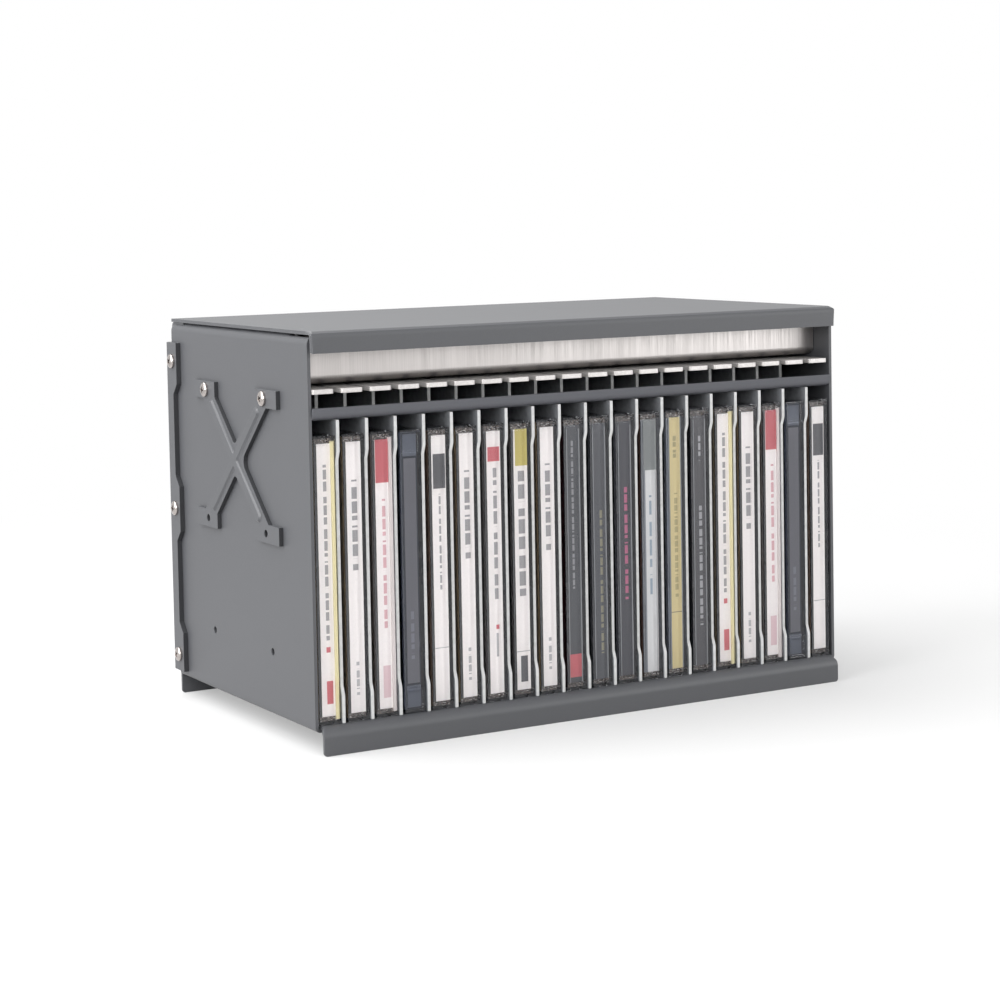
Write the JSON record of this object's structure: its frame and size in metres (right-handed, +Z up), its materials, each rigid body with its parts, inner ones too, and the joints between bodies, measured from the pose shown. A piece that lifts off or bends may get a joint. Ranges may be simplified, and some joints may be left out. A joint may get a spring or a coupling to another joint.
{
  "type": "cd storage case",
  "caption": "Tabletop sheet-metal case holding upright CD jewel cases between divider plates, with a row of push keys above that ease each one forward",
  "frame": {"origin": "on the table, under the middle of the case's bounding box", "axes": "+X to the right seen from the front, +Y to the back, +Z up; the keys are at the front, towards -Y"},
  "size_m": [0.2878, 0.161, 0.1825],
  "materials": {
    "painted_sheet": "satin powder coat",
    "bar_paint": "satin powder coat",
    "divider_metal": "satin, bare edges",
    "cover_steel": "vertical brushed grain",
    "key_steel": "brushed",
    "rod_steel": "ground",
    "spring_steel": "oiled wire",
    "screw_steel": "bright nickel",
    "dark_screw": "black",
    "case_white": "clear polystyrene over white paper",
    "case_dark": "clear polystyrene over black paper",
    "case_clear": "clear polystyrene",
    "case_yellow": "clear polystyrene over yellow paper"
  },
  "bodies": {
    "case": {"left_side_panel": "painted_sheet", "right_side_panel": "painted_sheet", "top_panel": "painted_sheet", "bottom_panel": "painted_sheet", "back_panel": "painted_sheet", "dividers": "divider_metal", "key_stop_bar": "bar_paint", "mechanism_cover": "cover_steel", "pivot_rod": "rod_steel", "return_springs": "spring_steel", "left_link_bracket": "painted_sheet", "right_link_bracket": "painted_sheet", "bracket_screws": "screw_steel", "back_panel_screws": "screw_steel", "top_panel_screws": "dark_screw"},
    "key_01": {"key_01": "key_steel"},
    "jewel_case_01": {"jewel_case_01": "case_white"},
    "key_02": {"key_02": "key_steel"},
    "jewel_case_02": {"jewel_case_02": "case_white"},
    "key_03": {"key_03": "key_steel"},
    "jewel_case_03": {"jewel_case_03": "case_white"},
    "key_04": {"key_04": "key_steel"},
    "jewel_case_04": {"jewel_case_04": "case_dark"},
    "key_05": {"key_05": "key_steel"},
    "jewel_case_05": {"jewel_case_05": "case_white"},
    "key_06": {"key_06": "key_steel"},
    "jewel_case_06": {"jewel_case_06": "case_white"},
    "key_07": {"key_07": "key_steel"},
    "jewel_case_07": {"jewel_case_07": "case_white"},
    "key_08": {"key_08": "key_steel"},
    "jewel_case_08": {"jewel_case_08": "case_white"},
    "key_09": {"key_09": "key_steel"},
    "jewel_case_09": {"jewel_case_09": "case_white"},
    "key_10": {"key_10": "key_steel"},
    "jewel_case_10": {"jewel_case_10": "case_dark"},
    "key_11": {"key_11": "key_steel"},
    "jewel_case_11": {"jewel_case_11": "case_dark"},
    "key_12": {"key_12": "key_steel"},
    "jewel_case_12": {"jewel_case_12": "case_dark"},
    "key_13": {"key_13": "key_steel"},
    "jewel_case_13": {"jewel_case_13": "case_clear"},
    "key_14": {"key_14": "key_steel"},
    "jewel_case_14": {"jewel_case_14": "case_yellow"},
    "key_15": {"key_15": "key_steel"},
    "jewel_case_15": {"jewel_case_15": "case_dark"},
    "key_16": {"key_16": "key_steel"},
    "jewel_case_16": {"jewel_case_16": "case_white"},
    "key_17": {"key_17": "key_steel"},
    "jewel_case_17": {"jewel_case_17": "case_white"},
    "key_18": {"key_18": "key_steel"},
    "jewel_case_18": {"jewel_case_18": "case_white"},
    "key_19": {"key_19": "key_steel"},
    "jewel_case_19": {"jewel_case_19": "case_dark"},
    "key_20": {"key_20": "key_steel"},
    "jewel_case_20": {"jewel_case_20": "case_white"}
  },
  "joints": [
    {"name": "press_key_01", "type": "hinge", "parent": "case", "child": "key_01", "pos_m": [0, 0.07155, 0.0208], "axis": [1, 0, 0], "range_deg": [0, 2.23], "stiffness_Nm_per_rad": 0.3, "springref_deg": -22.92},
    {"name": "push_jewel_case_01", "type": "slide", "parent": "case", "child": "jewel_case_01", "axis": [0, -1, 0], "range_m": [0, 0.00455]},
    {"name": "press_key_02", "type": "hinge", "parent": "case", "child": "key_02", "pos_m": [0, 0.07155, 0.0208], "axis": [1, 0, 0], "range_deg": [0, 2.23], "stiffness_Nm_per_rad": 0.3, "springref_deg": -22.92},
    {"name": "push_jewel_case_02", "type": "slide", "parent": "case", "child": "jewel_case_02", "axis": [0, -1, 0], "range_m": [0, 0.00455]},
    {"name": "press_key_03", "type": "hinge", "parent": "case", "child": "key_03", "pos_m": [0, 0.07155, 0.0208], "axis": [1, 0, 0], "range_deg": [0, 2.23], "stiffness_Nm_per_rad": 0.3, "springref_deg": -22.92},
    {"name": "push_jewel_case_03", "type": "slide", "parent": "case", "child": "jewel_case_03", "axis": [0, -1, 0], "range_m": [0, 0.00455]},
    {"name": "press_key_04", "type": "hinge", "parent": "case", "child": "key_04", "pos_m": [0, 0.07155, 0.0208], "axis": [1, 0, 0], "range_deg": [0, 2.23], "stiffness_Nm_per_rad": 0.3, "springref_deg": -22.92},
    {"name": "push_jewel_case_04", "type": "slide", "parent": "case", "child": "jewel_case_04", "axis": [0, -1, 0], "range_m": [0, 0.00455]},
    {"name": "press_key_05", "type": "hinge", "parent": "case", "child": "key_05", "pos_m": [0, 0.07155, 0.0208], "axis": [1, 0, 0], "range_deg": [0, 2.23], "stiffness_Nm_per_rad": 0.3, "springref_deg": -22.92},
    {"name": "push_jewel_case_05", "type": "slide", "parent": "case", "child": "jewel_case_05", "axis": [0, -1, 0], "range_m": [0, 0.00455]},
    {"name": "press_key_06", "type": "hinge", "parent": "case", "child": "key_06", "pos_m": [0, 0.07155, 0.0208], "axis": [1, 0, 0], "range_deg": [0, 2.23], "stiffness_Nm_per_rad": 0.3, "springref_deg": -22.92},
    {"name": "push_jewel_case_06", "type": "slide", "parent": "case", "child": "jewel_case_06", "axis": [0, -1, 0], "range_m": [0, 0.00455]},
    {"name": "press_key_07", "type": "hinge", "parent": "case", "child": "key_07", "pos_m": [0, 0.07155, 0.0208], "axis": [1, 0, 0], "range_deg": [0, 2.23], "stiffness_Nm_per_rad": 0.3, "springref_deg": -22.92},
    {"name": "push_jewel_case_07", "type": "slide", "parent": "case", "child": "jewel_case_07", "axis": [0, -1, 0], "range_m": [0, 0.00455]},
    {"name": "press_key_08", "type": "hinge", "parent": "case", "child": "key_08", "pos_m": [0, 0.07155, 0.0208], "axis": [1, 0, 0], "range_deg": [0, 2.23], "stiffness_Nm_per_rad": 0.3, "springref_deg": -22.92},
    {"name": "push_jewel_case_08", "type": "slide", "parent": "case", "child": "jewel_case_08", "axis": [0, -1, 0], "range_m": [0, 0.00455]},
    {"name": "press_key_09", "type": "hinge", "parent": "case", "child": "key_09", "pos_m": [0, 0.07155, 0.0208], "axis": [1, 0, 0], "range_deg": [0, 2.23], "stiffness_Nm_per_rad": 0.3, "springref_deg": -22.92},
    {"name": "push_jewel_case_09", "type": "slide", "parent": "case", "child": "jewel_case_09", "axis": [0, -1, 0], "range_m": [0, 0.00455]},
    {"name": "press_key_10", "type": "hinge", "parent": "case", "child": "key_10", "pos_m": [0, 0.07155, 0.0208], "axis": [1, 0, 0], "range_deg": [0, 2.23], "stiffness_Nm_per_rad": 0.3, "springref_deg": -22.92},
    {"name": "push_jewel_case_10", "type": "slide", "parent": "case", "child": "jewel_case_10", "axis": [0, -1, 0], "range_m": [0, 0.00455]},
    {"name": "press_key_11", "type": "hinge", "parent": "case", "child": "key_11", "pos_m": [0, 0.07155, 0.0208], "axis": [1, 0, 0], "range_deg": [0, 2.23], "stiffness_Nm_per_rad": 0.3, "springref_deg": -22.92},
    {"name": "push_jewel_case_11", "type": "slide", "parent": "case", "child": "jewel_case_11", "axis": [0, -1, 0], "range_m": [0, 0.00455]},
    {"name": "press_key_12", "type": "hinge", "parent": "case", "child": "key_12", "pos_m": [0, 0.07155, 0.0208], "axis": [1, 0, 0], "range_deg": [0, 2.23], "stiffness_Nm_per_rad": 0.3, "springref_deg": -22.92},
    {"name": "push_jewel_case_12", "type": "slide", "parent": "case", "child": "jewel_case_12", "axis": [0, -1, 0], "range_m": [0, 0.00455]},
    {"name": "press_key_13", "type": "hinge", "parent": "case", "child": "key_13", "pos_m": [0, 0.07155, 0.0208], "axis": [1, 0, 0], "range_deg": [0, 2.23], "stiffness_Nm_per_rad": 0.3, "springref_deg": -22.92},
    {"name": "push_jewel_case_13", "type": "slide", "parent": "case", "child": "jewel_case_13", "axis": [0, -1, 0], "range_m": [0, 0.00455]},
    {"name": "press_key_14", "type": "hinge", "parent": "case", "child": "key_14", "pos_m": [0, 0.07155, 0.0208], "axis": [1, 0, 0], "range_deg": [0, 2.23], "stiffness_Nm_per_rad": 0.3, "springref_deg": -22.92},
    {"name": "push_jewel_case_14", "type": "slide", "parent": "case", "child": "jewel_case_14", "axis": [0, -1, 0], "range_m": [0, 0.00455]},
    {"name": "press_key_15", "type": "hinge", "parent": "case", "child": "key_15", "pos_m": [0, 0.07155, 0.0208], "axis": [1, 0, 0], "range_deg": [0, 2.23], "stiffness_Nm_per_rad": 0.3, "springref_deg": -22.92},
    {"name": "push_jewel_case_15", "type": "slide", "parent": "case", "child": "jewel_case_15", "axis": [0, -1, 0], "range_m": [0, 0.00455]},
    {"name": "press_key_16", "type": "hinge", "parent": "case", "child": "key_16", "pos_m": [0, 0.07155, 0.0208], "axis": [1, 0, 0], "range_deg": [0, 2.23], "stiffness_Nm_per_rad": 0.3, "springref_deg": -22.92},
    {"name": "push_jewel_case_16", "type": "slide", "parent": "case", "child": "jewel_case_16", "axis": [0, -1, 0], "range_m": [0, 0.00455]},
    {"name": "press_key_17", "type": "hinge", "parent": "case", "child": "key_17", "pos_m": [0, 0.07155, 0.0208], "axis": [1, 0, 0], "range_deg": [0, 2.23], "stiffness_Nm_per_rad": 0.3, "springref_deg": -22.92},
    {"name": "push_jewel_case_17", "type": "slide", "parent": "case", "child": "jewel_case_17", "axis": [0, -1, 0], "range_m": [0, 0.00455]},
    {"name": "press_key_18", "type": "hinge", "parent": "case", "child": "key_18", "pos_m": [0, 0.07155, 0.0208], "axis": [1, 0, 0], "range_deg": [0, 2.23], "stiffness_Nm_per_rad": 0.3, "springref_deg": -22.92},
    {"name": "push_jewel_case_18", "type": "slide", "parent": "case", "child": "jewel_case_18", "axis": [0, -1, 0], "range_m": [0, 0.00455]},
    {"name": "press_key_19", "type": "hinge", "parent": "case", "child": "key_19", "pos_m": [0, 0.07155, 0.0208], "axis": [1, 0, 0], "range_deg": [0, 2.23], "stiffness_Nm_per_rad": 0.3, "springref_deg": -22.92},
    {"name": "push_jewel_case_19", "type": "slide", "parent": "case", "child": "jewel_case_19", "axis": [0, -1, 0], "range_m": [0, 0.00455]},
    {"name": "press_key_20", "type": "hinge", "parent": "case", "child": "key_20", "pos_m": [0, 0.07155, 0.0208], "axis": [1, 0, 0], "range_deg": [0, 2.23], "stiffness_Nm_per_rad": 0.3, "springref_deg": -22.92},
    {"name": "push_jewel_case_20", "type": "slide", "parent": "case", "child": "jewel_case_20", "axis": [0, -1, 0], "range_m": [0, 0.00455]}
  ],
  "couplings": [
    {"joint": "push_jewel_case_01", "follows": "press_key_01", "m_per_rad": 0.1167},
    {"joint": "push_jewel_case_02", "follows": "press_key_02", "m_per_rad": 0.1167},
    {"joint": "push_jewel_case_03", "follows": "press_key_03", "m_per_rad": 0.1167},
    {"joint": "push_jewel_case_04", "follows": "press_key_04", "m_per_rad": 0.1167},
    {"joint": "push_jewel_case_05", "follows": "press_key_05", "m_per_rad": 0.1167},
    {"joint": "push_jewel_case_06", "follows": "press_key_06", "m_per_rad": 0.1167},
    {"joint": "push_jewel_case_07", "follows": "press_key_07", "m_per_rad": 0.1167},
    {"joint": "push_jewel_case_08", "follows": "press_key_08", "m_per_rad": 0.1167},
    {"joint": "push_jewel_case_09", "follows": "press_key_09", "m_per_rad": 0.1167},
    {"joint": "push_jewel_case_10", "follows": "press_key_10", "m_per_rad": 0.1167},
    {"joint": "push_jewel_case_11", "follows": "press_key_11", "m_per_rad": 0.1167},
    {"joint": "push_jewel_case_12", "follows": "press_key_12", "m_per_rad": 0.1167},
    {"joint": "push_jewel_case_13", "follows": "press_key_13", "m_per_rad": 0.1167},
    {"joint": "push_jewel_case_14", "follows": "press_key_14", "m_per_rad": 0.1167},
    {"joint": "push_jewel_case_15", "follows": "press_key_15", "m_per_rad": 0.1167},
    {"joint": "push_jewel_case_16", "follows": "press_key_16", "m_per_rad": 0.1167},
    {"joint": "push_jewel_case_17", "follows": "press_key_17", "m_per_rad": 0.1167},
    {"joint": "push_jewel_case_18", "follows": "press_key_18", "m_per_rad": 0.1167},
    {"joint": "push_jewel_case_19", "follows": "press_key_19", "m_per_rad": 0.1167},
    {"joint": "push_jewel_case_20", "follows": "press_key_20", "m_per_rad": 0.1167}
  ]
}
